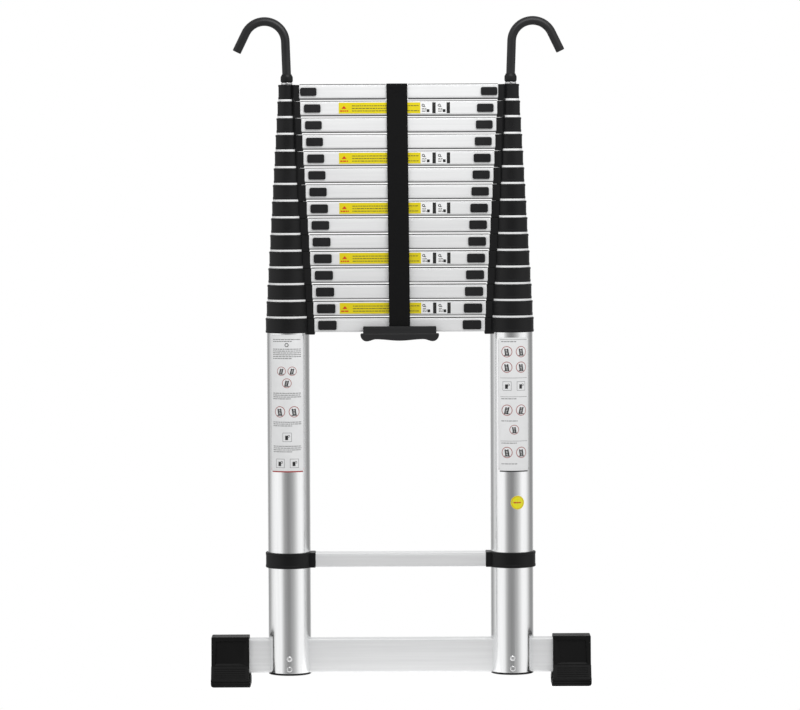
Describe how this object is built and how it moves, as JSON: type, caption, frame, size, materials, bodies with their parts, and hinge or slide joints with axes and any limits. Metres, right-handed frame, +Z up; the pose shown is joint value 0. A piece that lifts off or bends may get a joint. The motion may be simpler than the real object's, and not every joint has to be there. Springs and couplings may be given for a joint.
{
  "type": "extension ladder",
  "caption": "Folded telescoping extension ladder: nested tube sections with rungs and thumb locks, a stabilizer bar on rubber feet, swivelling roof hooks and a carry strap.",
  "frame": {"origin": "on the floor, midway between the two tube axes and under them", "axes": "+Z up along the tubes, +X to the right seen from the front, and -Y out of the front face with the thumb buttons"},
  "size_m": [0.695, 0.087, 1.2215],
  "materials": {
    "aluminium": "satin anodised",
    "bar_aluminium": "matt",
    "black_plastic": "fine moulded grain",
    "button_plastic": "smooth moulded",
    "grip_plastic": "matt moulded",
    "foot_rubber": "matt",
    "bright_steel": "zinc plated",
    "hook_coating": "black plastic coating",
    "webbing": "ribbed woven webbing"
  },
  "bodies": {
    "base": {"section_01": "aluminium", "bottom_rung": "aluminium", "bottom_rung_clamp_left": "black_plastic", "bottom_rung_clamp_right": "black_plastic", "stabilizer_bar": "bar_aluminium", "foot_left": "foot_rubber", "foot_right": "foot_rubber", "stabilizer_bolt_left": "bright_steel", "stabilizer_bolt_right": "bright_steel", "tube_plug_left": "black_plastic", "tube_plug_right": "black_plastic"},
    "section_02": {"section_02": "aluminium"},
    "section_03": {"section_03": "aluminium"},
    "section_04": {"section_04": "aluminium"},
    "section_05": {"section_05": "aluminium"},
    "section_06": {"section_06": "aluminium"},
    "section_07": {"section_07": "aluminium"},
    "section_08": {"section_08": "aluminium"},
    "section_09": {"section_09": "aluminium"},
    "section_10": {"section_10": "aluminium"},
    "section_11": {"section_11": "aluminium"},
    "section_12": {"section_12": "aluminium"},
    "section_13": {"section_13": "aluminium"},
    "section_14": {"section_14": "aluminium"},
    "section_15": {"section_15": "aluminium", "strap_eye": "webbing"},
    "lock_button_left_01": {"lock_button_left_01": "button_plastic"},
    "lock_button_right_01": {"lock_button_right_01": "button_plastic"},
    "lock_button_left_02": {"lock_button_left_02": "button_plastic"},
    "lock_button_right_02": {"lock_button_right_02": "button_plastic"},
    "lock_button_left_03": {"lock_button_left_03": "button_plastic"},
    "lock_button_right_03": {"lock_button_right_03": "button_plastic"},
    "lock_button_left_04": {"lock_button_left_04": "button_plastic"},
    "lock_button_right_04": {"lock_button_right_04": "button_plastic"},
    "lock_button_left_05": {"lock_button_left_05": "button_plastic"},
    "lock_button_right_05": {"lock_button_right_05": "button_plastic"},
    "lock_button_left_06": {"lock_button_left_06": "button_plastic"},
    "lock_button_right_06": {"lock_button_right_06": "button_plastic"},
    "lock_button_left_07": {"lock_button_left_07": "button_plastic"},
    "lock_button_right_07": {"lock_button_right_07": "button_plastic"},
    "lock_button_left_08": {"lock_button_left_08": "button_plastic"},
    "lock_button_right_08": {"lock_button_right_08": "button_plastic"},
    "lock_button_left_09": {"lock_button_left_09": "button_plastic"},
    "lock_button_right_09": {"lock_button_right_09": "button_plastic"},
    "lock_button_left_10": {"lock_button_left_10": "button_plastic"},
    "lock_button_right_10": {"lock_button_right_10": "button_plastic"},
    "lock_button_left_11": {"lock_button_left_11": "button_plastic"},
    "lock_button_right_11": {"lock_button_right_11": "button_plastic"},
    "lock_button_left_12": {"lock_button_left_12": "button_plastic"},
    "lock_button_right_12": {"lock_button_right_12": "button_plastic"},
    "lock_button_left_13": {"lock_button_left_13": "button_plastic"},
    "lock_button_right_13": {"lock_button_right_13": "button_plastic"},
    "lock_button_left_14": {"lock_button_left_14": "button_plastic"},
    "lock_button_right_14": {"lock_button_right_14": "button_plastic"},
    "lock_button_left_15": {"lock_button_left_15": "button_plastic"},
    "lock_button_right_15": {"lock_button_right_15": "button_plastic"},
    "hook_left": {"hook_left": "hook_coating"},
    "hook_right": {"hook_right": "hook_coating"},
    "strap": {"strap": "webbing"},
    "carry_handle": {"carry_handle": "grip_plastic"}
  },
  "joints": [
    {"name": "extend_02", "type": "slide", "parent": "base", "child": "section_02", "axis": [0, 0, 1], "range_m": [0, 0.3647]},
    {"name": "extend_03", "type": "slide", "parent": "section_02", "child": "section_03", "axis": [0, 0, 1], "range_m": [0, 0.3647]},
    {"name": "extend_04", "type": "slide", "parent": "section_03", "child": "section_04", "axis": [0, 0, 1], "range_m": [0, 0.3647]},
    {"name": "extend_05", "type": "slide", "parent": "section_04", "child": "section_05", "axis": [0, 0, 1], "range_m": [0, 0.3647]},
    {"name": "extend_06", "type": "slide", "parent": "section_05", "child": "section_06", "axis": [0, 0, 1], "range_m": [0, 0.3647]},
    {"name": "extend_07", "type": "slide", "parent": "section_06", "child": "section_07", "axis": [0, 0, 1], "range_m": [0, 0.3647]},
    {"name": "extend_08", "type": "slide", "parent": "section_07", "child": "section_08", "axis": [0, 0, 1], "range_m": [0, 0.3647]},
    {"name": "extend_09", "type": "slide", "parent": "section_08", "child": "section_09", "axis": [0, 0, 1], "range_m": [0, 0.3647]},
    {"name": "extend_10", "type": "slide", "parent": "section_09", "child": "section_10", "axis": [0, 0, 1], "range_m": [0, 0.3647]},
    {"name": "extend_11", "type": "slide", "parent": "section_10", "child": "section_11", "axis": [0, 0, 1], "range_m": [0, 0.3647]},
    {"name": "extend_12", "type": "slide", "parent": "section_11", "child": "section_12", "axis": [0, 0, 1], "range_m": [0, 0.3647]},
    {"name": "extend_13", "type": "slide", "parent": "section_12", "child": "section_13", "axis": [0, 0, 1], "range_m": [0, 0.3647]},
    {"name": "extend_14", "type": "slide", "parent": "section_13", "child": "section_14", "axis": [0, 0, 1], "range_m": [0, 0.3647]},
    {"name": "extend_15", "type": "slide", "parent": "section_14", "child": "section_15", "axis": [0, 0, 1], "range_m": [0, 0.3647]},
    {"name": "hook_swivel_left", "type": "hinge", "parent": "section_15", "child": "hook_left", "pos_m": [-0.2035, 0, 1.101], "axis": [0, 0, 1], "continuous": true},
    {"name": "hook_swivel_right", "type": "hinge", "parent": "section_15", "child": "hook_right", "pos_m": [0.2035, 0, 1.101], "axis": [0, 0, 1], "continuous": true},
    {"name": "strap_swing", "type": "hinge", "parent": "section_15", "child": "strap", "pos_m": [0, -0.0197, 1.0691], "axis": [-1, 0, 0], "range_deg": [0, 80]},
    {"name": "handle_tilt", "type": "hinge", "parent": "strap", "child": "carry_handle", "pos_m": [0, -0.0275, 0.6585], "axis": [-1, 0, 0], "range_deg": [0, 60]},
    {"name": "lock_button_left_01_press", "type": "slide", "parent": "base", "child": "lock_button_left_01", "axis": [1, 0, 0], "range_m": [0, 0.003], "stiffness_N_per_m": 300, "springref_m": -0.008},
    {"name": "lock_button_right_01_press", "type": "slide", "parent": "base", "child": "lock_button_right_01", "axis": [-1, 0, 0], "range_m": [0, 0.003], "stiffness_N_per_m": 300, "springref_m": -0.008},
    {"name": "lock_button_left_02_press", "type": "slide", "parent": "section_02", "child": "lock_button_left_02", "axis": [1, 0, 0], "range_m": [0, 0.003], "stiffness_N_per_m": 300, "springref_m": -0.008},
    {"name": "lock_button_right_02_press", "type": "slide", "parent": "section_02", "child": "lock_button_right_02", "axis": [-1, 0, 0], "range_m": [0, 0.003], "stiffness_N_per_m": 300, "springref_m": -0.008},
    {"name": "lock_button_left_03_press", "type": "slide", "parent": "section_03", "child": "lock_button_left_03", "axis": [1, 0, 0], "range_m": [0, 0.003], "stiffness_N_per_m": 300, "springref_m": -0.008},
    {"name": "lock_button_right_03_press", "type": "slide", "parent": "section_03", "child": "lock_button_right_03", "axis": [-1, 0, 0], "range_m": [0, 0.003], "stiffness_N_per_m": 300, "springref_m": -0.008},
    {"name": "lock_button_left_04_press", "type": "slide", "parent": "section_04", "child": "lock_button_left_04", "axis": [1, 0, 0], "range_m": [0, 0.003], "stiffness_N_per_m": 300, "springref_m": -0.008},
    {"name": "lock_button_right_04_press", "type": "slide", "parent": "section_04", "child": "lock_button_right_04", "axis": [-1, 0, 0], "range_m": [0, 0.003], "stiffness_N_per_m": 300, "springref_m": -0.008},
    {"name": "lock_button_left_05_press", "type": "slide", "parent": "section_05", "child": "lock_button_left_05", "axis": [1, 0, 0], "range_m": [0, 0.003], "stiffness_N_per_m": 300, "springref_m": -0.008},
    {"name": "lock_button_right_05_press", "type": "slide", "parent": "section_05", "child": "lock_button_right_05", "axis": [-1, 0, 0], "range_m": [0, 0.003], "stiffness_N_per_m": 300, "springref_m": -0.008},
    {"name": "lock_button_left_06_press", "type": "slide", "parent": "section_06", "child": "lock_button_left_06", "axis": [1, 0, 0], "range_m": [0, 0.003], "stiffness_N_per_m": 300, "springref_m": -0.008},
    {"name": "lock_button_right_06_press", "type": "slide", "parent": "section_06", "child": "lock_button_right_06", "axis": [-1, 0, 0], "range_m": [0, 0.003], "stiffness_N_per_m": 300, "springref_m": -0.008},
    {"name": "lock_button_left_07_press", "type": "slide", "parent": "section_07", "child": "lock_button_left_07", "axis": [1, 0, 0], "range_m": [0, 0.003], "stiffness_N_per_m": 300, "springref_m": -0.008},
    {"name": "lock_button_right_07_press", "type": "slide", "parent": "section_07", "child": "lock_button_right_07", "axis": [-1, 0, 0], "range_m": [0, 0.003], "stiffness_N_per_m": 300, "springref_m": -0.008},
    {"name": "lock_button_left_08_press", "type": "slide", "parent": "section_08", "child": "lock_button_left_08", "axis": [1, 0, 0], "range_m": [0, 0.003], "stiffness_N_per_m": 300, "springref_m": -0.008},
    {"name": "lock_button_right_08_press", "type": "slide", "parent": "section_08", "child": "lock_button_right_08", "axis": [-1, 0, 0], "range_m": [0, 0.003], "stiffness_N_per_m": 300, "springref_m": -0.008},
    {"name": "lock_button_left_09_press", "type": "slide", "parent": "section_09", "child": "lock_button_left_09", "axis": [1, 0, 0], "range_m": [0, 0.003], "stiffness_N_per_m": 300, "springref_m": -0.008},
    {"name": "lock_button_right_09_press", "type": "slide", "parent": "section_09", "child": "lock_button_right_09", "axis": [-1, 0, 0], "range_m": [0, 0.003], "stiffness_N_per_m": 300, "springref_m": -0.008},
    {"name": "lock_button_left_10_press", "type": "slide", "parent": "section_10", "child": "lock_button_left_10", "axis": [1, 0, 0], "range_m": [0, 0.003], "stiffness_N_per_m": 300, "springref_m": -0.008},
    {"name": "lock_button_right_10_press", "type": "slide", "parent": "section_10", "child": "lock_button_right_10", "axis": [-1, 0, 0], "range_m": [0, 0.003], "stiffness_N_per_m": 300, "springref_m": -0.008},
    {"name": "lock_button_left_11_press", "type": "slide", "parent": "section_11", "child": "lock_button_left_11", "axis": [1, 0, 0], "range_m": [0, 0.003], "stiffness_N_per_m": 300, "springref_m": -0.008},
    {"name": "lock_button_right_11_press", "type": "slide", "parent": "section_11", "child": "lock_button_right_11", "axis": [-1, 0, 0], "range_m": [0, 0.003], "stiffness_N_per_m": 300, "springref_m": -0.008},
    {"name": "lock_button_left_12_press", "type": "slide", "parent": "section_12", "child": "lock_button_left_12", "axis": [1, 0, 0], "range_m": [0, 0.003], "stiffness_N_per_m": 300, "springref_m": -0.008},
    {"name": "lock_button_right_12_press", "type": "slide", "parent": "section_12", "child": "lock_button_right_12", "axis": [-1, 0, 0], "range_m": [0, 0.003], "stiffness_N_per_m": 300, "springref_m": -0.008},
    {"name": "lock_button_left_13_press", "type": "slide", "parent": "section_13", "child": "lock_button_left_13", "axis": [1, 0, 0], "range_m": [0, 0.003], "stiffness_N_per_m": 300, "springref_m": -0.008},
    {"name": "lock_button_right_13_press", "type": "slide", "parent": "section_13", "child": "lock_button_right_13", "axis": [-1, 0, 0], "range_m": [0, 0.003], "stiffness_N_per_m": 300, "springref_m": -0.008},
    {"name": "lock_button_left_14_press", "type": "slide", "parent": "section_14", "child": "lock_button_left_14", "axis": [1, 0, 0], "range_m": [0, 0.003], "stiffness_N_per_m": 300, "springref_m": -0.008},
    {"name": "lock_button_right_14_press", "type": "slide", "parent": "section_14", "child": "lock_button_right_14", "axis": [-1, 0, 0], "range_m": [0, 0.003], "stiffness_N_per_m": 300, "springref_m": -0.008},
    {"name": "lock_button_left_15_press", "type": "slide", "parent": "section_15", "child": "lock_button_left_15", "axis": [1, 0, 0], "range_m": [0, 0.005], "stiffness_N_per_m": 300, "springref_m": -0.003},
    {"name": "lock_button_right_15_press", "type": "slide", "parent": "section_15", "child": "lock_button_right_15", "axis": [-1, 0, 0], "range_m": [0, 0.005], "stiffness_N_per_m": 300, "springref_m": -0.003}
  ]
}
